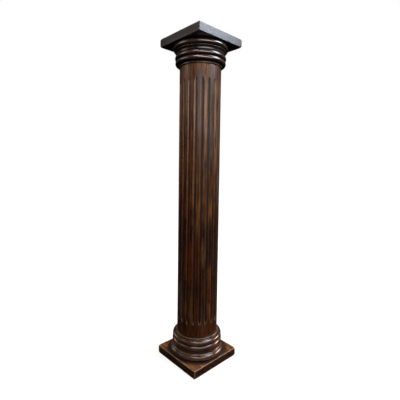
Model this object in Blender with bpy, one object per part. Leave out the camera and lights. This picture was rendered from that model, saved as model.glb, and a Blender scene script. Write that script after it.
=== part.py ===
"""Carved wooden column: square plinth, turned base, fluted shaft, turned capital and square abacus.

Lengths are in metres and +Z is up. The origin is the middle of the plinth's underside, and the
boards' sides run along X and Y.
"""

import math

import bmesh
import bpy
import numpy as np

# Whole column
COLUMN_HEIGHT = 2.4
JOINT_GAP = 0.0003  # left between two pieces that touch

# Plinth and abacus, two equal square boards
BOARD_THICKNESS = 0.057
BOARD_MARGIN = 0.011  # from the moulding's widest edge to the board's side
BOARD_EASING = 0.0025  # rounding of the arrises

# Shaft
SHAFT_DIAMETER = 0.3075
NECK_LENGTH = 0.096  # plain stretch between a flute's point and the shaft's end
FLUTE_COUNT = 20
FLUTE_WIDTH = 0.025
FLUTE_DEPTH = 0.0065
FLUTE_POINT_LENGTH = 0.045  # stretch over which a flute narrows to its point

# Turned moulding, upright as the base and upside down as the capital. Its members follow from
# the board to the shaft, and a projection is measured outwards from the shaft's surface.
BAND_THICKNESS = 0.041
BAND_PROJECTION = 0.049
QUIRK_WIDTH = 0.002
QUIRK_DEPTH = 0.005  # cut inwards from the foot of the cove
COVE_HEIGHT = 0.0295
COVE_SETBACK = 0.0125  # from the band's widest edge in to the foot of the cove
COVE_DEPTH = 0.0115  # from the foot of the cove in to its waist
BEAD_THICKNESS = 0.033
BEAD_PROJECTION = 0.035
TORUS_THICKNESS = 0.0375
TORUS_PROJECTION = 0.0325
SEAT_HEIGHT = 0.0105  # flat ledge that the shaft stands on
SEAT_PROJECTION = 0.009

# Fineness of the faceted surfaces
MOULDING_SIDES = 48
ROUND_FACETS = 6  # across a band, bead or torus
COVE_FACETS = 4
EASING_FACETS = 2
POINT_SHARES = (0.0, 0.12, 0.4, 0.75)  # rings of a flute's point, from its tip to its full width
FLUTE_SHARES = (-1.0, -0.5, 0.0, 0.5, 1.0)  # lines across a flute, from edge to edge
LAND_SHARES = (1 / 3, 2 / 3)  # lines across the land between two flutes
TIP_SHARE = 0.03  # width left at a flute's very tip, as a share of the full width
SHARP_ANGLE = math.radians(35)

SHAFT_RADIUS = SHAFT_DIAMETER / 2
BAND_RADIUS = SHAFT_RADIUS + BAND_PROJECTION
BOARD_SIDE = 2 * (BAND_RADIUS + BOARD_MARGIN)
MOULDING_HEIGHT = (
    BAND_THICKNESS + QUIRK_WIDTH + COVE_HEIGHT + BEAD_THICKNESS + TORUS_THICKNESS + SEAT_HEIGHT
)
MOULDING_FOOT = BOARD_THICKNESS + JOINT_GAP
SHAFT_FOOT = MOULDING_FOOT + MOULDING_HEIGHT + JOINT_GAP
SHAFT_LENGTH = COLUMN_HEIGHT - 2 * SHAFT_FOOT


def clear_scene():
    for leftover in list(bpy.data.objects):
        bpy.data.objects.remove(leftover)


def wood(name, colour, roughness):
    """A stained and waxed wood of one colour."""
    material = bpy.data.materials.new(name)
    material.use_nodes = True
    shader = material.node_tree.nodes["Principled BSDF"]
    shader.inputs["Base Color"].default_value = (*colour, 1)
    shader.inputs["Roughness"].default_value = roughness
    shader.inputs["Metallic"].default_value = 0
    return material


def place(name, mesh, parent, height, material, upside_down=False):
    """A piece on the column's axis, its own foot at this height, or its head if it is turned over."""
    piece = bpy.data.objects.new(name, mesh)
    bpy.context.scene.collection.objects.link(piece)
    piece.parent = parent
    piece.location = (0, 0, height)
    if upside_down:
        piece.rotation_euler = (math.pi, 0, 0)
    if not mesh.materials:
        mesh.materials.append(None)
    piece.material_slots[0].link = "OBJECT"
    piece.material_slots[0].material = material
    return piece


def finished_mesh(name, shape):
    """Turns an edit mesh into a mesh that is smooth except at its arrises."""
    bmesh.ops.recalc_face_normals(shape, faces=shape.faces)
    mesh = bpy.data.meshes.new(name)
    shape.to_mesh(mesh)
    shape.free()
    mesh.shade_smooth()
    mesh.set_sharp_from_angle(angle=SHARP_ANGLE)
    return mesh


def board_mesh():
    """A square board standing on its underside, without its eased arrises."""
    shape = bmesh.new()
    bmesh.ops.create_cube(shape, size=1)
    bmesh.ops.translate(shape, verts=shape.verts, vec=(0, 0, 0.5))
    bmesh.ops.scale(shape, verts=shape.verts, vec=(BOARD_SIDE, BOARD_SIDE, BOARD_THICKNESS))
    return finished_mesh("board", shape)


def ease_arrises(board):
    easing = board.modifiers.new("eased arrises", "BEVEL")
    easing.width = BOARD_EASING
    easing.segments = EASING_FACETS
    easing.limit_method = "ANGLE"


def half_round(foot, thickness, projection):
    """The half circle of a band, bead or torus, from its foot up to its head, as (radius, height)."""
    tube = thickness / 2
    angles = np.linspace(-math.pi / 2, math.pi / 2, ROUND_FACETS + 1)
    radii = SHAFT_RADIUS + projection - tube + tube * np.cos(angles)
    return list(zip(radii, foot + tube + tube * np.sin(angles)))


def cove(foot, foot_radius):
    """The quarter ellipse of the hollow flare, from its wide foot up to its waist."""
    angles = np.linspace(0, math.pi / 2, COVE_FACETS + 1)
    radii = foot_radius - COVE_DEPTH * np.sin(angles)
    return list(zip(radii, foot + COVE_HEIGHT * (1 - np.cos(angles))))


def moulding_profile():
    """The turned profile from the axis at the foot, round the outside, to the axis at the head."""
    band = half_round(0, BAND_THICKNESS, BAND_PROJECTION)
    cove_foot = BAND_THICKNESS + QUIRK_WIDTH
    cove_radius = BAND_RADIUS - COVE_SETBACK
    quirk_radius = cove_radius - QUIRK_DEPTH
    bead_foot = cove_foot + COVE_HEIGHT
    torus_foot = bead_foot + BEAD_THICKNESS
    seat_foot = torus_foot + TORUS_THICKNESS
    seat_radius = SHAFT_RADIUS + SEAT_PROJECTION
    return [
        (0, 0),
        *band,
        (quirk_radius, BAND_THICKNESS),
        (quirk_radius, cove_foot),
        *cove(cove_foot, cove_radius),
        *half_round(bead_foot, BEAD_THICKNESS, BEAD_PROJECTION),
        *half_round(torus_foot, TORUS_THICKNESS, TORUS_PROJECTION),
        (seat_radius, seat_foot),
        (seat_radius, MOULDING_HEIGHT),
        (0, MOULDING_HEIGHT),
    ]


def moulding_mesh():
    """The profile turned round the axis into one closed block."""
    shape = bmesh.new()
    points = [shape.verts.new((radius, 0, height)) for radius, height in moulding_profile()]
    line = [shape.edges.new(pair) for pair in zip(points, points[1:])]
    bmesh.ops.spin(
        shape,
        geom=points + line,
        cent=(0, 0, 0),
        axis=(0, 0, 1),
        angle=2 * math.pi,
        steps=MOULDING_SIDES,
        use_merge=True,
    )
    bmesh.ops.remove_doubles(shape, verts=shape.verts, dist=1e-5)
    return finished_mesh("turned moulding", shape)


def flute_spread(share):
    """How wide a flute is at this share of its point, from 0 at the tip to 1 where it is full.

    The point is a lancet arch, each side an arc of one circle centred beyond the far edge.
    """
    half_width = FLUTE_WIDTH / 2
    arc_radius = (FLUTE_POINT_LENGTH**2 + half_width**2) / (2 * half_width)
    rise = FLUTE_POINT_LENGTH * (1 - share)
    spread = (math.sqrt(arc_radius**2 - rise**2) - arc_radius + half_width) / half_width
    return max(spread, TIP_SHARE)


def shaft_section(spread, depth):
    """One ring of the shaft as (x, y) pairs, its flutes this wide and deep, as shares of the full size.

    Across a flute the hollow is a parabola, deepest in the middle. The lands between stay round.
    """
    pitch = 2 * math.pi / FLUTE_COUNT
    half_flute = math.asin(FLUTE_WIDTH / 2 / SHAFT_RADIUS) * spread
    across = np.array(FLUTE_SHARES)
    over_land = half_flute + (pitch - 2 * half_flute) * np.array(LAND_SHARES)
    angles = np.concatenate([across * half_flute, over_land])
    hollows = np.concatenate([FLUTE_DEPTH * depth * (1 - across**2), np.zeros(len(over_land))])
    ring = (np.arange(FLUTE_COUNT)[:, None] * pitch + angles).ravel()
    radii = SHAFT_RADIUS - np.tile(hollows, FLUTE_COUNT)
    return np.stack([radii * np.cos(ring), radii * np.sin(ring)], axis=1)


def shaft_stations():
    """The shaft's rings from foot to head, as (height, flute spread, flute depth)."""
    plain = (len(FLUTE_SHARES) - 1) / (len(FLUTE_SHARES) + len(LAND_SHARES))
    even_spread = plain * math.pi / FLUTE_COUNT / math.asin(FLUTE_WIDTH / 2 / SHAFT_RADIUS)
    lower = [(0, even_spread, 0), (NECK_LENGTH - FLUTE_WIDTH / 2, even_spread, 0)]
    for share in POINT_SHARES:
        spread = flute_spread(share)
        depth = math.sqrt(spread) if share else 0
        lower.append((NECK_LENGTH + share * FLUTE_POINT_LENGTH, spread, depth))
    lower.append((NECK_LENGTH + FLUTE_POINT_LENGTH, 1, 1))
    upper = [(SHAFT_LENGTH - height, spread, depth) for height, spread, depth in reversed(lower)]
    return lower + upper


def shaft_mesh():
    """The fluted shaft as one closed block, its rings joined by bands of faces and capped."""
    shape = bmesh.new()
    rings = []
    for height, spread, depth in shaft_stations():
        section = shaft_section(spread, depth)
        rings.append([shape.verts.new((x, y, height)) for x, y in section])
    for low, high in zip(rings, rings[1:]):
        following = zip(low, low[1:] + low[:1], high[1:] + high[:1], high)
        for corners in following:
            shape.faces.new(corners)
    shape.faces.new(rings[0])
    shape.faces.new(rings[-1])
    return finished_mesh("fluted shaft", shape)


def build_column():
    clear_scene()
    column = bpy.data.objects.new("column", None)
    bpy.context.scene.collection.objects.link(column)

    plinth_wood = wood("dark polished plinth", (0.055, 0.028, 0.016), 0.28)
    base_wood = wood("polished base", (0.060, 0.026, 0.015), 0.22)
    shaft_wood = wood("brown waxed shaft", (0.075, 0.040, 0.024), 0.38)
    capital_wood = wood("polished capital", (0.050, 0.026, 0.020), 0.24)
    abacus_wood = wood("dark satin abacus", (0.050, 0.036, 0.032), 0.36)

    board = board_mesh()
    moulding = moulding_mesh()
    capital_head = COLUMN_HEIGHT - MOULDING_FOOT
    ease_arrises(place("plinth", board, column, 0, plinth_wood))
    place("base_moulding", moulding, column, MOULDING_FOOT, base_wood)
    place("shaft", shaft_mesh(), column, SHAFT_FOOT, shaft_wood)
    place("capital_moulding", moulding, column, capital_head, capital_wood, upside_down=True)
    ease_arrises(place("abacus", board, column, COLUMN_HEIGHT, abacus_wood, upside_down=True))


build_column()
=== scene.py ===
import math

import bpy
import numpy as np
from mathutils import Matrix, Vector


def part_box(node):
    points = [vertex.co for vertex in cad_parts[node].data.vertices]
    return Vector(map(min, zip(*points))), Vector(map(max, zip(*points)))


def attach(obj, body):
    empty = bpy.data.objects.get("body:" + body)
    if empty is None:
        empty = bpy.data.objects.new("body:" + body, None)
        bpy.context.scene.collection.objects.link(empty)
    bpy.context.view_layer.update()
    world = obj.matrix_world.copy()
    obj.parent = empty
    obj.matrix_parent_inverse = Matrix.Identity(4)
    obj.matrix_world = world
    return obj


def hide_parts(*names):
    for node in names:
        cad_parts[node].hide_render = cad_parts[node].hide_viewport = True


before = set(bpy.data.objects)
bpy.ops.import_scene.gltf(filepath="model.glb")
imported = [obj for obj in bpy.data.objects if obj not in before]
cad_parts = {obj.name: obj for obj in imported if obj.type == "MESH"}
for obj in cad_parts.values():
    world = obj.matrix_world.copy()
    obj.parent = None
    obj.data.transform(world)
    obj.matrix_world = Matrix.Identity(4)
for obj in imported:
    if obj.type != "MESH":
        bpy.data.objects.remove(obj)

for name in ("Cube", "Light", "Camera"):
    if name in bpy.data.objects:
        bpy.data.objects.remove(bpy.data.objects[name])
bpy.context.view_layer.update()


# Plinth
# A square board of dark stained hardwood under the column, its grain running along X. It is
# glued to the turned base, polished, and rubbed pale along its arrises by feet and brooms, with
# a painted highlight laid along them as well.

EASING = 0.0026  # radius of the arrises
EASING_WAVER = 0.25  # how much of that radius comes and goes along an arris
EASING_WAVE = 0.09  # length of those waves
# The rounding of the upright arrises, and how much more their ends are rounded, by side of X and
# then of Y, + first and then -.
CORNER_ROUNDING = ((0.006, 0.003), (0.005, 0.006))
END_ROUNDING = ((0.007, 0.000), (0.004, 0.007))
END_REACH = 0.016
LEAST_ROUNDING = 0.0001  # by which a corner's rounding is at least above the arris radius
KNOCK_REACH = 0.009
KNOCK_DEPTH = 0.0020
KNOCK_SIZES = (0.5, 1)  # the smallest and largest knock, as shares of that reach and depth
# Points of the mesh along one side of the outline, up the board's side and across a face, and
# the stretch at each corner of the outline where they lie closer.
OUTLINE_POINTS = 84
SIDE_POINTS = 20
FACE_POINTS = 100
CORNER_STRETCH = 0.014
ROUNDING_ANGLES = (45, 35, 25, 12, 0)  # degrees at which points lie on a rounding

FACE_DEPTH = 0.001  # a point this near a face's plane lies on the face
# How far from an arris its rubbing and painted highlight reach.
RUBBED_AND_LIT_WIDTH = 0.003
BOARD_WAX_AND_SHADE = 0.8  # how much dark wax and painted shadow and reflection of the moulding lie round it
BOARD_WAX_AND_SHADE_WIDTH = 0.014
# Where the amber begins and where it is full, beyond the moulding, and how ragged its border is.
AMBER_BEGINS = 0.017
AMBER_FULL = 0.036
AMBER_RAGGED = 0.012
AMBER_WAVE = 0.07
BOARD_TONE_WAVER = 0.12
BOARD_TONE_WAVE = 0.12
BOARD_RUSSET_WAVE = 0.05
BOARD_RUSSET_RANGE = (0.1, 0.8)

WAVES = 7
WAVE_LENGTHS = (0.7, 1.5)  # the shortest and longest wave, as shares of the stated length
WAVE_GAIN = 1.8  # raises the mean of the waves to about -1 to 1


def wobble(points, wavelength, seed):
    """A smooth unevenness of about -1 to 1: the mean of a few sine waves through space, each with
    its own direction, length and phase drawn from the seed."""
    draw = np.random.default_rng(seed)
    directions = draw.normal(size=(WAVES, 3))
    directions /= np.linalg.norm(directions, axis=1)[:, None]
    lengths = wavelength * draw.uniform(*WAVE_LENGTHS, WAVES)
    phases = draw.uniform(0, 2 * math.pi, WAVES)
    turns = points @ (2 * math.pi * directions / lengths[:, None]).T + phases
    return np.sin(turns).mean(-1) * WAVE_GAIN


def closed_surface(name, grid, **attributes):
    """A mesh from a grid of points, its rows going from a pole at the foot to a pole at the head
    and its columns round the piece, anticlockwise from above, the last joined to the first. Each
    attribute gives the mesh a value at every point of the grid."""
    rows, columns = grid.shape[:2]
    rings = grid[1:-1].reshape(-1, 3)
    points = np.concatenate([grid[:1, 0], rings, grid[-1:, 0]])
    number = 1 + np.arange((rows - 2) * columns).reshape(rows - 2, columns)
    beside = np.roll(number, -1, axis=1)
    quads = np.stack([number[:-1], beside[:-1], beside[1:], number[1:]], -1).reshape(-1, 4)
    foot = np.stack([np.zeros(columns, int), beside[0], number[0]], -1)
    head = np.stack([np.full(columns, len(points) - 1), number[-1], beside[-1]], -1)
    mesh = bpy.data.meshes.new(name)
    mesh.from_pydata(points, [], foot.tolist() + quads.tolist() + head.tolist())
    for title, values in attributes.items():
        spread = np.broadcast_to(values, (rows, columns))
        along = np.concatenate([spread[:1, 0], spread[1:-1].ravel(), spread[-1:, 0]])
        mesh.attributes.new(title, "FLOAT", "POINT").data.foreach_set("value", along)
    mesh.shade_smooth()
    piece = bpy.data.objects.new(name, mesh)
    bpy.context.scene.collection.objects.link(piece)
    return piece


def rounded_steps(half, rounding, count):
    """Places on a straight side from one arris to the other, even in the middle. Over the
    rounding they lie where lines from its centre at a few angles meet the side."""
    slopes = np.tan(np.radians(ROUNDING_ANGLES))
    near = half - rounding * (1 - slopes)
    middle = np.linspace(-near[-1], near[-1], count)[1:-1]
    return np.concatenate([-near, middle, near[::-1]])


def smooth_step(value, low, high):
    """0 below low, 1 above high, and a smooth cubic rise between."""
    share = np.clip((value - low) / (high - low), 0, 1)
    return share * share * (3 - 2 * share)


def board_box(half):
    """The sharp box as a grid of points. The columns go round its square outline, and the rows go
    from the middle of the underside, over the side, to the middle of the top."""
    along = rounded_steps(half[0], CORNER_STRETCH, OUTLINE_POINTS)[:-1]
    edge = np.full_like(along, half[0])
    outline = np.concatenate([
        np.stack([edge, along], -1), np.stack([-along, edge], -1),
        np.stack([-edge, -along], -1), np.stack([along, -edge], -1),
    ])
    side = rounded_steps(half[2], EASING, SIDE_POINTS)
    across = rounded_steps(half[0], EASING, FACE_POINTS)
    inwards = 1 + across[across < 0] / half[0]
    shares = np.concatenate([[0], 1 - inwards[::-1], np.ones(len(side) - 2), 1 - inwards, [0]])
    heights = np.concatenate([
        np.full(len(inwards) + 1, -half[2]), side[1:-1], np.full(len(inwards) + 1, half[2]),
    ])
    box = np.empty((len(shares), len(outline), 3))
    box[..., :2] = shares[:, None, None] * outline
    box[..., 2] = heights[:, None]
    return box


def eased(box, half, knocks, seed):
    """The box with its arrises rounded. Each point goes to the nearest point of a smaller prism
    with rounded corners, and from there back out by the arris radius. The radius wavers, and it
    grows at the ends of the corners and where the board has been knocked."""
    draw = np.random.default_rng(seed)
    radius = EASING * (1 + EASING_WAVER * wobble(box, EASING_WAVE, seed))
    for _ in range(knocks):
        spot = half * draw.choice([-1, 1], 3)
        spot[draw.integers(2)] *= draw.uniform(-1, 1)
        size = draw.uniform(*KNOCK_SIZES) * KNOCK_REACH
        near = np.exp(-((box - spot) ** 2).sum(-1) / size**2)
        radius += KNOCK_DEPTH * draw.uniform(*KNOCK_SIZES) * near
    below = (box[..., :2] < 0).astype(int)
    ends = np.exp(-((np.abs(box) - half) ** 2).sum(-1) / END_REACH**2)
    radius += np.array(END_ROUNDING)[below[..., 0], below[..., 1]] * ends
    corner = np.array(CORNER_ROUNDING)[below[..., 0], below[..., 1]]
    corner = np.maximum(corner, radius + LEAST_ROUNDING)
    inner = np.clip(box[..., :2], -(half[0] - corner)[..., None], (half[0] - corner)[..., None])
    spare = box[..., :2] - inner
    length = np.maximum(np.linalg.norm(spare, axis=-1), 1e-9)  # never 0
    core = box.copy()
    core[..., :2] = inner + spare * np.minimum(1, (corner - radius) / length)[..., None]
    core[..., 2] = np.clip(box[..., 2], radius - half[2], half[2] - radius)
    out = box - core
    return core + radius[..., None] * out / np.linalg.norm(out, axis=-1, keepdims=True)


def board(name, low, high, side_up, knocks, seed, moulding_radius, tones, worn_and_lit, amber, russet):
    """A square board between these corners. tones are the stain's tones on the sides and on the
    faces, the argument after them says how pale the arrises are rubbed and how bright a painted
    highlight they carry, and russet how red the stain's patches are. side_up is 1 if the moulding
    stands on the board and -1 if it hangs below. On that face dark wax and a painted shadow and
    reflection of the moulding lie round the moulding, and beyond it the wood is amber where the
    stain is thin, as strongly as amber says at the -X side and at the +X side."""
    low, high = np.array(low), np.array(high)
    centre, half = (low + high) / 2, (high - low) / 2
    points = eased(board_box(half), half, knocks, seed)
    to_arris = np.sort(half - np.abs(points), axis=-1)[..., 1]
    beyond = np.hypot(points[..., 0], points[..., 1]) - moulding_radius
    ragged = beyond + AMBER_RAGGED * wobble(points, AMBER_WAVE, seed + 1)
    thin = smooth_step(ragged, AMBER_BEGINS, AMBER_FULL)
    on_face = half[2] - np.abs(points[..., 2]) < FACE_DEPTH
    by_moulding = half[2] - side_up * points[..., 2] < FACE_DEPTH
    amber = np.interp(points[..., 0], (-half[0], half[0]), amber)
    tone = np.where(on_face, tones[1], tones[0])
    patches = smooth_step(wobble(points, BOARD_RUSSET_WAVE, seed + 4), *BOARD_RUSSET_RANGE)
    return closed_surface(
        name,
        points + centre,
        wear=worn_and_lit * np.exp(-to_arris / RUBBED_AND_LIT_WIDTH),
        grime=BOARD_WAX_AND_SHADE * np.exp(-np.abs(beyond) / BOARD_WAX_AND_SHADE_WIDTH) * by_moulding,
        tone=tone + BOARD_TONE_WAVER * wobble(points, BOARD_TONE_WAVE, seed + 2),
        amber=amber * thin * by_moulding,
        russet=russet * patches,
    )


def add(tree, kind, inputs=(), **settings):
    """A new shader node. An input is given a value or another node's output."""
    made = tree.nodes.new("ShaderNode" + kind)
    for key, value in settings.items():
        setattr(made, key, value)
    for key, value in dict(inputs).items():
        if isinstance(value, bpy.types.NodeSocket):
            tree.links.new(value, made.inputs[key])
        else:
            made.inputs[key].default_value = value
    return made


def sums(tree, operation, first, second=0.0, third=0.0):
    """A Math node's result. MULTIPLY_ADD is first times second plus third."""
    return add(tree, "Math", {0: first, 1: second, 2: third}, operation=operation).outputs[0]


def blend(tree, share, first, second):
    """Two colours mixed by a share, given as values or outputs."""
    return add(tree, "Mix", {0: share, 6: first, 7: second}, data_type="RGBA").outputs[2]


def grain_noise(tree, place, kept, scale, detail, roughness):
    """A noise drawn out along the grain, where only this share of its scale is kept."""
    drawn = add(tree, "Mapping", {"Vector": place, "Scale": (1, 1, kept)}).outputs[0]
    made = add(tree, "TexNoise", {
        "Vector": drawn, "Scale": scale, "Detail": detail, "Roughness": roughness,
    })
    return made.outputs["Fac"]


def remap(tree, value, low, high, new_low=0.0, new_high=1.0):
    """The value carried from one range to another in a straight line, and held at its ends."""
    made = add(tree, "MapRange", {
        "Value": value, "From Min": low, "From Max": high, "To Min": new_low, "To Max": new_high,
    })
    return made.outputs[0]


def colour_steps(tree, share, colours):
    """A ramp through evenly spaced colours."""
    made = add(tree, "ValToRGB", {"Fac": share})
    stops = made.color_ramp.elements
    for number, colour in enumerate(colours):
        place = number / (len(colours) - 1)
        stop = stops[number] if number < 2 else stops.new(place)
        stop.position = place
        stop.color = (*colour, 1)
    return made.outputs[0]


def attribute(tree, title):
    """A value that the mesh holds at its points."""
    return add(tree, "Attribute", attribute_name=title).outputs["Fac"]


STAINS = {
    "russet": (0.135, 0.022, 0.003), "amber": (0.400, 0.155, 0.034), "smoke_and_sheen": (0.090, 0.064, 0.062),
}
# Pale rubbed wood, also the colour of painted highlights, glints and lit walls; and dark wax, also
# the colour of knots, pores and painted shade.
RUBBED_AND_LIT_WOOD = (0.46, 0.31, 0.18, 1)
DARK_WAX_AND_SHADE = (0.006, 0.003, 0.003, 1)
# The patterns in the wood, each as the share of its scale that is kept along the grain, its
# scale in waves per metre, its detail, and the roughness of that detail.
GRAIN_BEND = (0.12, 7, 2, 0.55)
STREAKS = (0.05, 110, 3, 0.55)
FIBRES = (0.03, 420, 4, 0.7)
KNOTS = (0.35, 30, 1, 0.55)
PORES = (0.045, 1100, 2, 0.5)
SCUFFS = (1.0, 140, 4, 0.65)
SMEARS = (0.3, 35, 3, 0.6)
HILLS = (0.25, 45, 2, 0.55)
# The values of a noise between which a pattern comes in. EVEN_RANGE holds most of a noise.
EVEN_RANGE = (0.36, 0.64)
KNOT_PEAKS = (0.68, 0.76)
PORE_DIPS = (0.36, 0.28)
SCUFF_RANGE = (0.38, 0.62)
SMEAR_RANGE = (0.3, 0.7)
KNOT_STRENGTH = 0.8
PORE_STRENGTH = 0.5
RUBBED_AND_LIT_STRENGTH = 0.75
STAIN_STRENGTH = 0.8
STAIN_STREAKS = 0.9  # how much more and less the wood takes a stain along the streaks
FIBRE_DULLNESS = 0.04
WAX_DULLNESS = 0.3
# The height of each pattern's relief, as a share of the material's relief depth.
RELIEF = {"pores": -0.6, "fibres": 0.16, "streaks": 0.35, "hills": 0.9}


def stained_wood(name, colours, place, grain, gloss, relief_depth):
    """Stained and polished hardwood. The mesh's tone says how light the stain is. To it are added
    growth rings, which are sine bands round a pith line off to one side, bent by a slow noise,
    and streaks and fibres, which are noises drawn out along the grain. Knots and pores are dark,
    where one noise peaks and another dips. The mesh also says where the stain has gone red or
    smoky, smoky stretches in places being a painted sheen, where it is thin and amber shows, where
    arrises are rubbed paler and painted highlights, glints and lit walls lie, and where dark wax
    and painted shade lie in a hollow. A coat of lacquer shines over all but the wax and shade.

    place gives the point as an output, its third part along the grain."""
    material = bpy.data.materials.new(name)
    material.use_nodes = True
    tree = material.node_tree
    shader = tree.nodes["Principled BSDF"]
    point = place(tree)

    shifted = add(tree, "VectorMath", {0: point, 1: (*grain["pith"], 0)}).outputs[0]
    slow = grain_noise(tree, shifted, *GRAIN_BEND)
    flat = add(tree, "VectorMath", {0: shifted, 1: (1, 1, 0)}, operation="MULTIPLY").outputs[0]
    from_pith = add(tree, "VectorMath", {0: flat}, operation="LENGTH").outputs["Value"]
    bands = sums(tree, "MULTIPLY_ADD", slow, grain["bend"], from_pith)
    rings = sums(tree, "SINE", sums(tree, "MULTIPLY", bands, 2 * math.pi / grain["spacing"]))
    streaks = remap(tree, grain_noise(tree, point, *STREAKS), *EVEN_RANGE, -1, 1)
    fibres = remap(tree, grain_noise(tree, point, *FIBRES), *EVEN_RANGE, -1, 1)
    knots = remap(tree, grain_noise(tree, point, *KNOTS), *KNOT_PEAKS)
    pores = remap(tree, grain_noise(tree, point, *PORES), *PORE_DIPS)
    scuffs = remap(tree, grain_noise(tree, point, *SCUFFS), *SCUFF_RANGE)

    tone = sums(tree, "MULTIPLY_ADD", rings, grain["rings"], attribute(tree, "tone"))
    tone = sums(tree, "MULTIPLY_ADD", streaks, grain["streaks"], tone)
    tone = sums(tree, "MULTIPLY_ADD", fibres, grain["fibres"], tone)
    colour = colour_steps(tree, tone, colours)
    patchy = sums(tree, "MULTIPLY_ADD", streaks, STAIN_STREAKS, STAIN_STRENGTH)
    for title, stain in STAINS.items():
        share = sums(tree, "MULTIPLY", patchy, attribute(tree, title))
        colour = blend(tree, share, colour, (*stain, 1))
    colour = blend(tree, sums(tree, "MULTIPLY", knots, KNOT_STRENGTH), colour, DARK_WAX_AND_SHADE)
    colour = blend(tree, sums(tree, "MULTIPLY", pores, PORE_STRENGTH), colour, DARK_WAX_AND_SHADE)
    # Rubbed wood together with painted highlights, glints and lit flute walls, then dark wax
    # together with painted shade.
    rubbed_and_lit = sums(tree, "MULTIPLY", attribute(tree, "wear"), scuffs)
    colour = blend(tree, sums(tree, "MULTIPLY", rubbed_and_lit, RUBBED_AND_LIT_STRENGTH), colour, RUBBED_AND_LIT_WOOD)
    waxed_and_shaded = attribute(tree, "grime")
    colour = blend(tree, waxed_and_shaded, colour, DARK_WAX_AND_SHADE)
    tree.links.new(colour, shader.inputs["Base Color"])

    smears = grain_noise(tree, point, *SMEARS)
    rough = remap(tree, smears, *SMEAR_RANGE, gloss["polished"], gloss["dull"])
    rough = sums(tree, "MULTIPLY_ADD", fibres, FIBRE_DULLNESS, rough)
    rough = sums(tree, "MULTIPLY_ADD", waxed_and_shaded, WAX_DULLNESS, rough)
    tree.links.new(rough, shader.inputs["Roughness"])
    lacquer = sums(tree, "MULTIPLY_ADD", waxed_and_shaded, -gloss["lacquer"], gloss["lacquer"])
    tree.links.new(lacquer, shader.inputs["Coat Weight"])
    shader.inputs["Specular IOR Level"].default_value = gloss["wax"]
    shader.inputs["Coat Roughness"].default_value = gloss["lacquer_dullness"]
    shader.inputs["Coat IOR"].default_value = gloss["lacquer_index"]

    hills = grain_noise(tree, point, *HILLS)
    relief = sums(tree, "MULTIPLY", pores, RELIEF["pores"])
    relief = sums(tree, "MULTIPLY_ADD", fibres, RELIEF["fibres"], relief)
    relief = sums(tree, "MULTIPLY_ADD", streaks, RELIEF["streaks"], relief)
    relief = sums(tree, "MULTIPLY_ADD", hills, RELIEF["hills"], relief)
    bump = add(tree, "Bump", {"Strength": 1.0, "Distance": relief_depth, "Height": relief})
    tree.links.new(bump.outputs[0], shader.inputs["Normal"])
    return material


def along_x(tree):
    """The object's own coordinates with X, the boards' grain, as the third part."""
    parts = add(tree, "SeparateXYZ", {0: add(tree, "TexCoord").outputs["Object"]}).outputs
    return add(tree, "CombineXYZ", {0: parts[1], 1: parts[2], 2: parts[0]}).outputs[0]


# The shift across the grain that brings the pith to the origin, how far the rings bend, how wide
# they are, and how much rings, streaks and fibres change the tone.
PLINTH_GRAIN = {
    "pith": (0.03, 0.11), "bend": 0.02, "spacing": 0.009,
    "rings": 0.06, "streaks": 0.12, "fibres": 0.08,
}
PLINTH_COLOURS = (
    (0.012, 0.005, 0.003), (0.045, 0.018, 0.009), (0.120, 0.050, 0.022), (0.230, 0.105, 0.045),
)
# Roughness where polished and where dull, the shine of the waxed wood, and the lacquer's share,
# roughness and refractive index.
PLINTH_GLOSS = {
    "polished": 0.24, "dull": 0.36, "wax": 0.5,
    "lacquer": 0.7, "lacquer_dullness": 0.12, "lacquer_index": 1.6,
}

band_low, band_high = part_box("base_moulding")
plinth = board(
    "polished_plinth", *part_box("plinth"), side_up=1, knocks=9, seed=3,
    moulding_radius=band_high[0], tones=(0.30, 0.36), worn_and_lit=2.4, amber=(1.3, 0.5), russet=0.5,
)
plinth.data.materials.append(stained_wood(
    "plinth wood", PLINTH_COLOURS, along_x, PLINTH_GRAIN, PLINTH_GLOSS, relief_depth=0.00025,
))
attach(plinth, "root")
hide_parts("plinth")


# Base
# One block of hardwood turned to a thick rounded band, a fine quirk, a hollow flare, a bead, a
# torus and a small ledge for the shaft. It is glued on the plinth, stained red-brown and polished.

# The members' heights, and how far they stand out from the shaft.
BAND = 0.041
QUIRK = 0.002
QUIRK_DEPTH = 0.005  # cut inwards from the foot of the cove
COVE = 0.0295
COVE_SETBACK = 0.0125  # from the band's widest edge in to the foot of the cove
COVE_DEPTH = 0.0115  # from the foot of the cove in to its waist
LIP = 0.0022  # thickness of the rounded lip at the cove's foot
BEAD = 0.033
BEAD_PROJECTION = 0.035
TORUS = 0.0375
TORUS_PROJECTION = 0.0325
SEAT_PROJECTION = 0.009
SEAT_EASING = 0.0012
MOULDING_COLUMNS = 288
ROUND_POINTS = 29
LIP_POINTS = 9
COVE_POINTS = 22
SEAT_POINTS = 6

CREST_REACH = 0.013  # a hollow is measured from the widest place within this height of it
FULL_HOLLOW = 0.008  # depth at which a hollow holds all of its wax and painted shade
CREST_WEAR = 0.12  # light rubbing of the rounds, which fades out at a sixth of that depth
CREST_PARTS = 6
# The lip and the edge of the seat: how pale they are rubbed and lit with a painted highlight,
# how far from them that reaches, and how far from them the wax and painted shade are left off.
EDGE_WEAR_AND_HIGHLIGHT = 1.8
EDGE_WEAR_AND_HIGHLIGHT_REACH = 0.0028
EDGE_CLEAN_REACH = 0.003
MOULDING_TONE = 0.5
MOULDING_TONE_WAVER = 0.15
MOULDING_TONE_WAVE = 0.13
MOULDING_RUSSET = 0.5
MOULDING_RUSSET_WAVE = 0.09
MOULDING_RUSSET_RANGE = (-0.2, 0.8)

shaft_low, shaft_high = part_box("shaft")
shaft_radius = shaft_high[0]


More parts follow.
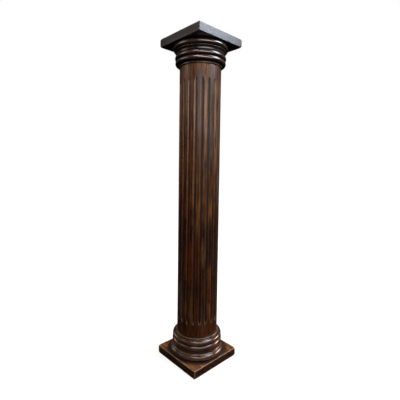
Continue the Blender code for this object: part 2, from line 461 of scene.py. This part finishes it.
def run(start, end, spacing):
    """Evenly spaced points of a straight stretch of a profile, without its last."""
    start, end = np.array(start, float), np.array(end, float)
    count = max(2, round(np.linalg.norm(end - start) / spacing))
    return start + (end - start) * np.linspace(0, 1, count, endpoint=False)[:, None]


def half_round(foot, thickness, edge, count=ROUND_POINTS):
    """The half circle of a band, bead, torus or lip with this widest radius, from its foot up."""
    tube = thickness / 2
    angles = np.linspace(-math.pi / 2, math.pi / 2, count)
    return np.stack([edge - tube + tube * np.cos(angles), foot + tube + tube * np.sin(angles)], -1)


def moulding_profile(band_radius, height):
    """The turned outline as (radius, height), from the axis at the foot round to the axis at the
    head: half circles for band, lip, bead and torus, a quarter ellipse for the hollow flare, and
    a quarter circle for the eased edge of the seat."""
    cove_foot = BAND + QUIRK
    cove_radius = band_radius - COVE_SETBACK
    bend = np.linspace(0, math.pi / 2, COVE_POINTS)[1:]
    cove = np.stack([
        cove_radius - LIP / 2 - (COVE_DEPTH - LIP / 2) * np.sin(bend),
        cove_foot + LIP + (COVE - LIP) * (1 - np.cos(bend)),
    ], -1)
    bead_foot = cove_foot + COVE
    torus_foot = bead_foot + BEAD
    seat_foot = torus_foot + TORUS
    seat_radius = shaft_radius + SEAT_PROJECTION
    quirk_radius = cove_radius - QUIRK_DEPTH
    bend = np.linspace(0, math.pi / 2, SEAT_POINTS)
    arris = np.stack([
        seat_radius - SEAT_EASING * (1 - np.cos(bend)), height - SEAT_EASING * (1 - np.sin(bend)),
    ], -1)
    return np.concatenate([
        run((0, 0), (band_radius - BAND / 2, 0), spacing=0.012),
        half_round(0, BAND, band_radius),
        run((quirk_radius, BAND), (quirk_radius, cove_foot), spacing=0.001),
        run((quirk_radius, cove_foot), (cove_radius - LIP / 2, cove_foot), spacing=0.002),
        half_round(cove_foot, LIP, cove_radius, LIP_POINTS),
        cove,
        half_round(bead_foot, BEAD, shaft_radius + BEAD_PROJECTION),
        half_round(torus_foot, TORUS, shaft_radius + TORUS_PROJECTION),
        run((seat_radius, seat_foot), (seat_radius, height - SEAT_EASING), spacing=0.0025),
        arris,
        run((seat_radius - 2 * SEAT_EASING, height), (0, height), spacing=0.009),
        [(0, height)],
    ])


def turned(name, profile, foot, way, waxed_and_shaded, seed):
    """The profile carried round the column's axis, a surface of angle and place on the profile.
    way is -1 for a block that hangs head down. The argument after it says how much dark wax and
    painted shade its hollows hold: a place holds more the further it lies behind the widest place
    near it. The lip and the edge of the seat are rubbed pale and carry a painted highlight, and
    hold none."""
    radii, heights = profile.T
    angles = np.linspace(0, 2 * math.pi, MOULDING_COLUMNS, endpoint=False)
    near = np.abs(heights[:, None] - heights) < CREST_REACH
    crest = np.where(near, radii, 0).max(1)
    hollow = np.clip((crest - radii) / FULL_HOLLOW, 0, 1)
    lip = np.array([(band_high[0] - COVE_SETBACK, BAND + QUIRK + LIP / 2)])
    seat = np.array([(shaft_radius + SEAT_PROJECTION, heights.max())])
    edge = np.minimum(np.hypot(*(profile - lip).T), np.hypot(*(profile - seat).T))
    worn_and_lit = CREST_WEAR * np.clip(1 - hollow * CREST_PARTS, 0, 1)
    worn_and_lit = worn_and_lit + EDGE_WEAR_AND_HIGHLIGHT * np.exp(-((edge / EDGE_WEAR_AND_HIGHLIGHT_REACH) ** 2))
    hollow = hollow * (1 - np.exp(-((edge / EDGE_CLEAN_REACH) ** 2)))
    if way < 0:
        radii, heights, hollow, worn_and_lit = radii[::-1], heights[::-1], hollow[::-1], worn_and_lit[::-1]
    grid = np.stack([
        radii[:, None] * np.cos(angles),
        radii[:, None] * np.sin(angles),
        np.broadcast_to((foot + way * heights)[:, None], (len(radii), len(angles))),
    ], -1)
    patches = smooth_step(wobble(grid, MOULDING_RUSSET_WAVE, seed + 1), *MOULDING_RUSSET_RANGE)
    return closed_surface(
        name,
        grid,
        wear=worn_and_lit[:, None],
        grime=waxed_and_shaded * hollow[:, None],
        tone=MOULDING_TONE + MOULDING_TONE_WAVER * wobble(grid, MOULDING_TONE_WAVE, seed),
        russet=MOULDING_RUSSET * patches,
    )


MOULDING_GRAIN = {
    "pith": (0.06, 0.21), "bend": 0.03, "spacing": 0.008,
    "rings": 0.07, "streaks": 0.14, "fibres": 0.06,
}
BASE_COLOURS = (
    (0.018, 0.007, 0.004), (0.065, 0.022, 0.012), (0.160, 0.062, 0.030), (0.300, 0.135, 0.068),
)
MOULDING_GLOSS = {
    "polished": 0.30, "dull": 0.42, "wax": 0.2,
    "lacquer": 1.0, "lacquer_dullness": 0.09, "lacquer_index": 2.2,
}

profile = moulding_profile(band_high[0], band_high[2] - band_low[2])
base = turned("turned_base", profile, band_low[2], way=1, waxed_and_shaded=0.6, seed=21)
base.data.materials.append(stained_wood(
    "base wood", BASE_COLOURS, along_x, MOULDING_GRAIN, MOULDING_GLOSS, relief_depth=0.00004,
))
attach(base, "root")
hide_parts("base_moulding")


# Shaft
# A round shaft built up of twenty long staves of stained hardwood, each of its own tone, with a
# flute gouged along every joint. The flutes stop short of both ends in lancet points. It is glued
# between the ledges of the base and the capital.

FLUTES = 20
FLUTE_WIDTH = 0.025
FLUTE_DEPTH = 0.0065
FLUTE_POINT = 0.045  # length over which a flute narrows to its point
NECK = 0.096
TIP_SHARE = 0.03  # width left at a flute's very tip
SCOOP = 0.024  # length over which a flute reaches its full depth, along a quarter ellipse
HAND_WANDER = 0.05  # how much wider and narrower the gouge goes
HAND_WAVE = 0.22
# Points of the mesh across a flute and over a land, and up the neck, the short fan between the
# neck and the flutes, a flute's point and the rest of the shaft.
FLUTE_COLUMNS = 13
LAND_COLUMNS = 9
NECK_ROWS = 9
FAN_ROWS = 6
POINT_ROWS = 30
MIDDLE_ROWS = 100
FAN = 0.010  # height of that fan
POINT_GATHER = 1.6  # the power that draws a point's rows together at its tip

# The tone up the shaft: darkest from 0.6 to 0.9 m above the floor, lightest at the top.
TONE_HEIGHTS = (0.20, 0.38, 0.60, 0.90, 1.15, 1.50, 2.20)
HEIGHT_TONES = (0.42, 0.22, -0.04, 0.03, 0.25, 0.44, 0.62)
# How much lighter than that each stave is, counting anticlockwise from the flute along +X.
STAVE_TONES = (
    -0.07, -0.14, 0.05, -0.04, 0.08, 0.00, -0.08, 0.06, -0.03, 0.09,
    -0.06, 0.03, 0.07, -0.05, 0.00, -0.01, -0.02, 0.02, 0.01, -0.09,
)
# How much dark wax and painted shade each flute holds, and how much painted light falls on
# its clockwise wall.
FLUTE_WAX_AND_SHADE = (
    0.60, 0.50, 0.70, 0.45, 0.80, 0.60, 0.40, 0.75, 0.55, 0.85,
    0.45, 0.70, 0.60, 0.80, 0.50, 0.45, 0.50, 0.55, 0.80, 0.85,
)
FLUTE_WALL_LIGHT = (
    0.20, 0.10, 0.40, 0.50, 0.10, 0.30, 0.60, 0.10, 0.40, 0.10,
    0.50, 0.20, 0.40, 0.10, 0.50, 0.60, 0.60, 0.55, 0.20, 0.10,
)
# Stretches of a stave where the stain differs, as (stave, low, high, strength), with heights
# above the floor. The smoke stretches high on staves 17 and 19 are a painted sheen.
STRETCHES = {
    "amber": (
        (15, 0.40, 0.46, 0.25), (16, 1.18, 1.28, 0.2), (16, 0.34, 0.55, 0.2), (17, 1.00, 1.24, 0.2),
        (18, 1.06, 1.24, 0.3), (18, 0.76, 0.91, 0.28), (18, 1.45, 2.05, 0.25),
        (19, 1.07, 1.22, 0.33), (19, 0.36, 0.72, 0.2), (0, 1.45, 2.07, 0.3), (3, 0.70, 1.05, 0.3),
        (5, 1.35, 1.60, 0.3), (8, 0.50, 0.90, 0.3), (10, 1.10, 1.35, 0.35), (12, 1.60, 1.95, 0.3),
        (13, 0.42, 0.60, 0.3), (14, 1.30, 2.10, 0.1), (18, 2.12, 2.20, 0.4),
    ),
    "russet": (
        (16, 0.60, 0.93, 0.8), (19, 0.50, 0.72, 0.6), (15, 0.60, 1.30, 0.4), (18, 0.50, 0.70, 0.5),
        (17, 0.40, 1.00, 0.25), (16, 1.45, 1.65, 0.3), (2, 0.90, 1.20, 0.5), (6, 0.45, 0.80, 0.7),
        (9, 0.75, 1.00, 0.5), (12, 0.60, 0.95, 0.8), (13, 1.20, 1.60, 0.4), (4, 1.10, 1.30, 0.5),
    ),
    # A smoky stain; high on staves 17 and 19 the same grey is a painted sheen.
    "smoke_and_sheen": (
        (19, 1.50, 2.12, 0.65), (17, 1.72, 2.12, 0.6), (1, 1.20, 2.20, 0.5), (14, 0.30, 0.62, 0.5),
        (0, 2.10, 2.20, 0.4), (17, 2.06, 2.14, 0.5), (18, 0.28, 0.50, 0.2), (7, 1.40, 1.90, 0.6),
        (11, 0.80, 1.30, 0.5), (4, 1.60, 2.20, 0.6), (9, 1.50, 1.80, 0.5),
    ),
}
STRETCH_FADE = 0.05
STAVE_WAVER = 0.10
STAVE_WAVE = 0.4
STAVE_APART = 1.37  # how far apart two neighbouring staves draw from that wave

# Up to the first of these heights every flute holds at least this much wax and painted shade,
# and its wall loses this share of its painted light. Up to the second height that fades out.
LOW_FULL = 0.9
LOW_ENDS = 1.5
LOW_WAX_AND_SHADE = 0.66
LOW_LOSS = 0.8
# The line of wax and painted shade and the painted light on the wall lie at these places across
# a flute, from -1 at its clockwise edge to 1 at the other, and are this wide. With more wax and
# shade than the first of two shares a flute darkens beside the line, and with the second right
# across.
WAX_AND_SHADE_PLACE = 0.15
WAX_AND_SHADE_WIDTH = 0.33
WAX_AND_SHADE_SPREADS = (0.4, 0.9)
WALL_PLACE = -0.75
WALL_WIDTH = 0.25
# Rubbing of the arrises, with a painted highlight on it, where a flute has at least this share of
# its depth. It sharpens by this power in the flute, and on a land it fades out over one of this
# many parts of its width.
ARRIS_WEAR_AND_HIGHLIGHT = 0.5
ARRIS_DEPTH = 0.3
ARRIS_POWER = 4
LAND_PARTS = 6
# The points of the flutes: a painted glint at the foot, beyond this share of the half width,
# and a painted shadow at the head, within this share of it.
TIP_REACH = 0.022
TIP_GLINT = 1.3
TIP_GLINT_FROM = 0.6
TIP_SHADOW = 0.95
TIP_SHADOW_TO = 0.9


def stations(length):
    """Rows from the shaft's foot to its head as (height, flute spread, flute depth), the last two
    as shares of the full size. A flute's point is a lancet arch, each side an arc of one circle,
    and its floor comes up along a quarter ellipse. Where the neck is plain the depth is 0 and the
    spread sets the columns out evenly."""
    half_width = FLUTE_WIDTH / 2
    arc = (FLUTE_POINT**2 + half_width**2) / (2 * half_width)
    along = np.linspace(0, 1, POINT_ROWS) ** POINT_GATHER
    short = FLUTE_POINT * (1 - along)
    spread = (np.sqrt(arc**2 - short**2) - arc + half_width) / half_width
    depth = np.sqrt(1 - (1 - np.clip(along * FLUTE_POINT / SCOOP, 0, 1)) ** 2)
    even = FLUTE_COLUMNS / (FLUTE_COLUMNS + LAND_COLUMNS)
    even *= math.pi / FLUTES / math.asin(half_width / shaft_radius)
    neck = np.linspace(0, NECK - FAN, NECK_ROWS)
    fan = np.linspace(NECK - FAN, NECK, FAN_ROWS)[1:-1]
    fan_spread = np.linspace(even, TIP_SHARE, FAN_ROWS)[1:-1]
    lower = np.concatenate([
        np.stack([neck, np.full_like(neck, even), np.zeros_like(neck)], -1),
        np.stack([fan, fan_spread, np.zeros_like(fan)], -1),
        np.stack([NECK + along * FLUTE_POINT, np.maximum(spread, TIP_SHARE), depth], -1),
    ])
    middle = np.linspace(NECK + FLUTE_POINT, length - NECK - FLUTE_POINT, MIDDLE_ROWS)[1:-1]
    middle = np.stack([middle, np.ones_like(middle), np.ones_like(middle)], -1)
    upper = lower[::-1] * (-1, 1, 1) + (length, 0, 0)
    return np.concatenate([lower, middle, upper])


def stained(heights, staves, table):
    """How strongly the table's stretches stain each place. A stretch fades at its ends."""
    amount = np.zeros((len(heights), len(staves)))
    for stave, low, high, strength in table:
        begun = smooth_step(heights, low - STRETCH_FADE, low + STRETCH_FADE)
        ended = smooth_step(heights, high - STRETCH_FADE, high + STRETCH_FADE)
        amount += strength * (begun - ended)[:, None] * (staves == stave)
    return amount


def fluted_shaft(name, foot, length):
    """The shaft as a surface of angle and height. Across a flute the radius falls by a parabola,
    deepest in the middle. The gouge wanders a little, as a hand does, and where it cuts narrower
    it cuts shallower by the square. A stave runs from the middle of one flute to the middle of
    the next, and the tone changes from stave to stave, along each stave and with the height."""
    heights, spread, depth = stations(length).T
    depth = depth[:, None]
    pitch = 2 * math.pi / FLUTES
    across = np.linspace(-1, 1, FLUTE_COLUMNS)
    over_land = np.linspace(0, 1, LAND_COLUMNS + 2)[1:-1]
    columns = FLUTE_COLUMNS + LAND_COLUMNS
    flute = np.repeat(np.arange(FLUTES), columns)
    in_flute = np.tile(np.arange(columns) < FLUTE_COLUMNS, FLUTES)
    share = np.tile(np.concatenate([across, over_land]), FLUTES)

    middle = flute * pitch
    centres = np.stack(np.broadcast_arrays(
        shaft_radius * np.cos(middle), shaft_radius * np.sin(middle), heights[:, None]
    ), -1)
    hand = np.where(depth > 0, 1 + HAND_WANDER * wobble(centres, HAND_WAVE, seed=11), 1)
    half = math.asin(FLUTE_WIDTH / 2 / shaft_radius) * spread[:, None] * hand
    next_half = np.roll(half, -columns, axis=1)
    land = middle + half + (pitch - half - next_half) * share
    angles = np.where(in_flute, middle + half * share, land)
    hollow = np.where(in_flute, 1 - share**2, 0) * depth
    radii = shaft_radius - FLUTE_DEPTH * hand**2 * hollow
    grid = np.stack([
        radii * np.cos(angles), radii * np.sin(angles),
        np.broadcast_to(foot + heights[:, None], radii.shape),
    ], -1)

    level = foot + heights
    low_down = 1 - smooth_step(level, LOW_FULL, LOW_ENDS)[:, None]
    waxed_and_shaded = np.maximum(np.array(FLUTE_WAX_AND_SHADE)[flute], LOW_WAX_AND_SHADE * low_down)
    # A line of dark wax and painted shade down each flute, painted light on its clockwise wall,
    # rubbing and a painted highlight on the arrises, a painted glint at the foot points and a
    # painted shadow at the head points.
    line = np.exp(-(((share - WAX_AND_SHADE_PLACE) / WAX_AND_SHADE_WIDTH) ** 2)) * (hollow > 0)
    dark = waxed_and_shaded * np.maximum(line, hollow * smooth_step(waxed_and_shaded, *WAX_AND_SHADE_SPREADS))
    lit_wall = np.array(FLUTE_WALL_LIGHT)[flute] * np.exp(-(((share - WALL_PLACE) / WALL_WIDTH) ** 2))
    lit_wall = lit_wall * (1 - LOW_LOSS * low_down) * (hollow > 0)
    arris = np.where(in_flute, np.abs(share), 1 - LAND_PARTS * np.minimum(share, 1 - share))
    arris = ARRIS_WEAR_AND_HIGHLIGHT * np.clip(arris, 0, 1) ** ARRIS_POWER * (depth > ARRIS_DEPTH)
    from_tip = np.minimum(heights - NECK, length - NECK - heights)[:, None]
    tip = np.where(in_flute & (from_tip >= 0), np.exp(-((from_tip / TIP_REACH) ** 2)), 0)
    at_foot = (heights < length / 2)[:, None]
    tip_glint = TIP_GLINT * tip * at_foot * (np.abs(share) > TIP_GLINT_FROM)
    tip_shadow = TIP_SHADOW * tip * ~at_foot * (np.abs(share) < TIP_SHADOW_TO)

    staves = (flute - (in_flute & (share < 0))) % FLUTES
    places = np.stack(np.broadcast_arrays(staves * STAVE_APART, 0 * staves, level[:, None]), -1)
    tone = np.interp(level, TONE_HEIGHTS, HEIGHT_TONES)[:, None] + np.array(STAVE_TONES)[staves]
    tone = tone + STAVE_WAVER * wobble(places, STAVE_WAVE, seed=6)
    caps = np.zeros((1, grid.shape[1], 3))
    caps[..., 2] = foot
    pad = ((1, 1), (0, 0))
    return closed_surface(
        name,
        np.concatenate([caps, grid, caps + (0, 0, length)]),
        wear=np.pad(arris + lit_wall + tip_glint, pad),
        grime=np.pad(np.maximum(dark, tip_shadow), pad),
        tone=np.pad(tone, pad),
        **{stain: np.pad(stained(level, staves, STRETCHES[stain]), pad) for stain in STRETCHES},
    )


STAVE_SHIFT = (3.1, 4.3, 5.7)  # the farthest that a stave's grain is shifted along X, Y and Z


def along_z(tree):
    """The object's own coordinates, whose third part is along the grain already, shifted by a
    white noise from stave to stave, so that the grain breaks at each joint."""
    place = add(tree, "TexCoord").outputs["Object"]
    parts = add(tree, "SeparateXYZ", {0: place}).outputs
    angle = sums(tree, "ARCTAN2", parts[1], parts[0])
    stave = sums(tree, "FLOOR", sums(tree, "MULTIPLY", angle, FLUTES / (2 * math.pi)))
    draw = add(tree, "TexWhiteNoise", {"W": stave}, noise_dimensions="1D").outputs["Color"]
    shift = add(tree, "VectorMath", {0: draw, 1: STAVE_SHIFT}, operation="MULTIPLY").outputs[0]
    return add(tree, "VectorMath", {0: place, 1: shift}).outputs[0]


SHAFT_GRAIN = {
    "pith": (0.04, 0.05), "bend": 0.05, "spacing": 0.011,
    "rings": 0.06, "streaks": 0.24, "fibres": 0.12,
}
SHAFT_COLOURS = (
    (0.024, 0.006, 0.002), (0.072, 0.021, 0.006), (0.160, 0.060, 0.020), (0.290, 0.130, 0.052),
)
SHAFT_GLOSS = {
    "polished": 0.26, "dull": 0.40, "wax": 0.38,
    "lacquer": 0.27, "lacquer_dullness": 0.2, "lacquer_index": 1.5,
}

shaft = fluted_shaft("fluted_shaft", shaft_low[2], shaft_high[2] - shaft_low[2])
shaft.data.materials.append(stained_wood(
    "shaft wood", SHAFT_COLOURS, along_z, SHAFT_GRAIN, SHAFT_GLOSS, relief_depth=0.0003,
))
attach(shaft, "root")
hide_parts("shaft")


# Capital
# A second block turned to the same profile as the base, glued head down under the abacus. Its
# colours are a colder, darker brown than the base's, its hollows hold more dark wax and painted
# shade, and it is polished like the base.

CAPITAL_COLOURS = (
    (0.012, 0.007, 0.007), (0.034, 0.018, 0.015), (0.082, 0.045, 0.036), (0.175, 0.102, 0.078),
)

capital_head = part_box("capital_moulding")[1][2]
capital = turned("turned_capital", profile, capital_head, way=-1, waxed_and_shaded=1.0, seed=33)
capital.data.materials.append(stained_wood(
    "capital wood", CAPITAL_COLOURS, along_x, MOULDING_GRAIN, MOULDING_GLOSS, relief_depth=0.00004,
))
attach(capital, "root")
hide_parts("capital_moulding")


# Abacus
# The square board on top, of the same hardwood and size as the plinth and glued to the capital.
# It is out of reach, so it is less worn, and its polish has gone satin under dust. Its colours
# are greyer and colder than the plinth's: a painted cold shade.

COLD_SHADED_ABACUS_COLOURS = (
    (0.017, 0.015, 0.017), (0.037, 0.031, 0.033), (0.070, 0.058, 0.058), (0.115, 0.098, 0.094),
)
ABACUS_GLOSS = {
    "polished": 0.28, "dull": 0.38, "wax": 0.33,
    "lacquer": 0.30, "lacquer_dullness": 0.2, "lacquer_index": 1.5,
}

abacus = board(
    "satin_abacus", *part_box("abacus"), side_up=-1, knocks=4, seed=8,
    moulding_radius=band_high[0], tones=(0.38, 0.34), worn_and_lit=0.6, amber=(0.0, 0.0), russet=0.0,
)
abacus.data.materials.append(stained_wood(
    "abacus wood", COLD_SHADED_ABACUS_COLOURS, along_x, PLINTH_GRAIN, ABACUS_GLOSS, relief_depth=0.00012,
))
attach(abacus, "root")
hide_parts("abacus")


# Floor, light and camera
# A pale floor runs on into a white surround. Daylight falls from high on the right and from high
# behind the camera, and the left side is dim. Two weak lamps low down stand for the light that
# the floor sends back to the column's foot.

FLOOR_HALF = 20.0  # half the floor's side
FLOOR_COLOUR = (0.4, 0.4, 0.4, 1)
FLOOR_ROUGHNESS = 0.9
# The floor glows a little less near the column, between these distances from its axis.
NEAR_GLOW = 0.77
GLOW_RISES = 0.6
GLOW_FULL = 1.8

floor_mesh = bpy.data.meshes.new("floor")
floor_mesh.from_pydata(
    [
        (-FLOOR_HALF, -FLOOR_HALF, 0), (FLOOR_HALF, -FLOOR_HALF, 0),
        (FLOOR_HALF, FLOOR_HALF, 0), (-FLOOR_HALF, FLOOR_HALF, 0),
    ],
    [], [(0, 1, 2, 3)],
)
floor = bpy.data.objects.new("pale_floor", floor_mesh)
bpy.context.scene.collection.objects.link(floor)
floor_paint = bpy.data.materials.new("pale floor")
floor_paint.use_nodes = True
paint = floor_paint.node_tree
floor_shader = paint.nodes["Principled BSDF"]
floor_shader.inputs["Base Color"].default_value = FLOOR_COLOUR
floor_shader.inputs["Roughness"].default_value = FLOOR_ROUGHNESS
floor_shader.inputs["Specular IOR Level"].default_value = 0.0
floor_shader.inputs["Emission Color"].default_value = (1, 1, 1, 1)
floor_point = add(paint, "TexCoord").outputs["Object"]
from_axis = add(paint, "VectorMath", {0: floor_point}, operation="LENGTH").outputs["Value"]
floor_glow = remap(paint, from_axis, GLOW_RISES, GLOW_FULL, NEAR_GLOW, 1.0)
paint.links.new(floor_glow, floor_shader.inputs["Emission Strength"])
floor_mesh.materials.append(floor_paint)
floor.visible_glossy = False
floor.visible_diffuse = False

# The surround lights the column this strongly from above and from below, and changes over between
# these sines of the angle above the horizon. The gloss mirrors only a share of it.
ABOVE = 0.22
BELOW = 0.015
HORIZON = (-0.02, 0.25)
MIRRORED = 0.25

world = bpy.data.worlds.new("studio")
bpy.context.scene.world = world
world.use_nodes = True
sky = world.node_tree
background = sky.nodes["Background"]
upwards = add(sky, "SeparateXYZ", {0: add(sky, "TexCoord").outputs["Generated"]}).outputs[2]
surround = remap(sky, upwards, *HORIZON, BELOW, ABOVE)
ray = add(sky, "LightPath").outputs
kept = sums(sky, "MULTIPLY_ADD", ray["Is Glossy Ray"], MIRRORED - 1, 1.0)
surround = sums(sky, "MULTIPLY", surround, kept)
surround = sums(sky, "MAXIMUM", ray["Is Camera Ray"], surround)
sky.links.new(surround, background.inputs["Strength"])
background.inputs["Color"].default_value = (1, 1, 1, 1)


def soft_light(name, bearing, distance, height, aim, size, radiance, colour, beam):
    """A rectangular lamp that stands at this bearing from the column, in degrees from +X, and
    faces the column's axis at the height aim. Its power is radiance times pi times its area. It
    fades from its middle to its sides as a half sine, whose mean is made 1. beam is how wide its
    light spreads, in degrees."""
    lamp = bpy.data.lights.new(name, "AREA")
    lamp.shape = "RECTANGLE"
    lamp.size, lamp.size_y = size
    lamp.energy = radiance * math.pi * size[0] * size[1]
    lamp.color = colour
    lamp.spread = math.radians(beam)
    lamp.use_nodes = True
    tree = lamp.node_tree
    place = add(tree, "SeparateXYZ", {0: add(tree, "NewGeometry").outputs["Parametric"]}).outputs
    across = sums(tree, "SINE", sums(tree, "MULTIPLY", place[0], math.pi))
    up = sums(tree, "SINE", sums(tree, "MULTIPLY", place[1], math.pi))
    strength = sums(tree, "MULTIPLY", sums(tree, "MULTIPLY", across, up), math.pi**2 / 4)
    tree.links.new(strength, tree.nodes["Emission"].inputs["Strength"])
    stand = bpy.data.objects.new(name, lamp)
    bpy.context.scene.collection.objects.link(stand)
    angle = math.radians(bearing)
    stand.location = (distance * math.cos(angle), distance * math.sin(angle), height)
    stand.rotation_mode = "QUATERNION"
    stand.rotation_quaternion = (Vector((0, 0, aim)) - stand.location).to_track_quat("-Z", "Y")
    stand.visible_camera = False


# Name, bearing, distance, height, aim, size, radiance, colour and beam. The camera stands at a
# bearing of -43 degrees.
LAMPS = (
    ("window", 33, 2.8, 3.6, 2.0, (2.4, 1.1), 6.2, (0.76, 0.85, 1.0), 180),
    ("skylight", 60, 2.0, 5.0, 0.0, (3.4, 2.2), 4.0, (1.0, 0.97, 0.94), 180),
    ("front_panel", -20, 2.9, 2.4, 2.0, (4.8, 1.3), 1.75, (1.0, 0.95, 0.90), 180),
    ("front_skylight", -55, 2.5, 4.4, 1.2, (2.6, 1.6), 2.5, (1.0, 0.96, 0.92), 180),
    ("side_skylight", 100, 1.8, 4.4, 0.0, (2.0, 1.4), 1.5, (1.0, 0.95, 0.90), 180),
    ("low_bounce", 62, 1.7, 0.7, 0.1, (2.2, 1.2), 0.26, (1.0, 0.86, 0.72), 40),
    ("left_bounce", -160, 1.7, 0.7, 0.1, (2.2, 1.2), 0.05, (1.0, 0.86, 0.72), 40),
    ("dim_side", -120, 3.0, 3.0, 1.4, (2.5, 1.6), 0.65, (1.0, 0.94, 0.87), 180),
)
for lamp_values in LAMPS:
    soft_light(*lamp_values)

# The camera as the photograph's perspective gives it: its bearing round the column in degrees
# from -Y towards +X, and how far it is turned left, tilted up and rolled anticlockwise.
CAMERA_BEARING = 47.21
CAMERA_DISTANCE = 2.3128
CAMERA_HEIGHT = 1.4753
CAMERA_TURN = -0.2106
CAMERA_TILT = -3.7117
CAMERA_ROLL = 0.8108
PICTURE = 400  # pixels along each side of the picture
FOCAL_PIXELS = 305.08
OPTICAL_DROP = -14.69  # pixels from the lens's axis up to the picture's middle
SENSOR_WIDTH = 36

sight = bpy.data.cameras.new("camera")
sight.sensor_width = SENSOR_WIDTH
sight.lens = FOCAL_PIXELS / PICTURE * SENSOR_WIDTH
sight.shift_y = OPTICAL_DROP / PICTURE
camera = bpy.data.objects.new("camera", sight)
bpy.context.scene.collection.objects.link(camera)
camera_angle = math.radians(CAMERA_BEARING)
camera.location = (
    CAMERA_DISTANCE * math.sin(camera_angle),
    -CAMERA_DISTANCE * math.cos(camera_angle),
    CAMERA_HEIGHT,
)
camera.rotation_mode = "XYZ"
heading = Matrix.Rotation(math.radians(CAMERA_BEARING + CAMERA_TURN), 3, "Z")
tilt = Matrix.Rotation(math.radians(90 + CAMERA_TILT), 3, "X")
roll = Matrix.Rotation(math.radians(CAMERA_ROLL), 3, "Z")
camera.rotation_euler = (heading @ tilt @ roll).to_euler()
bpy.context.scene.camera = camera
bpy.context.scene.view_settings.view_transform = "Standard"
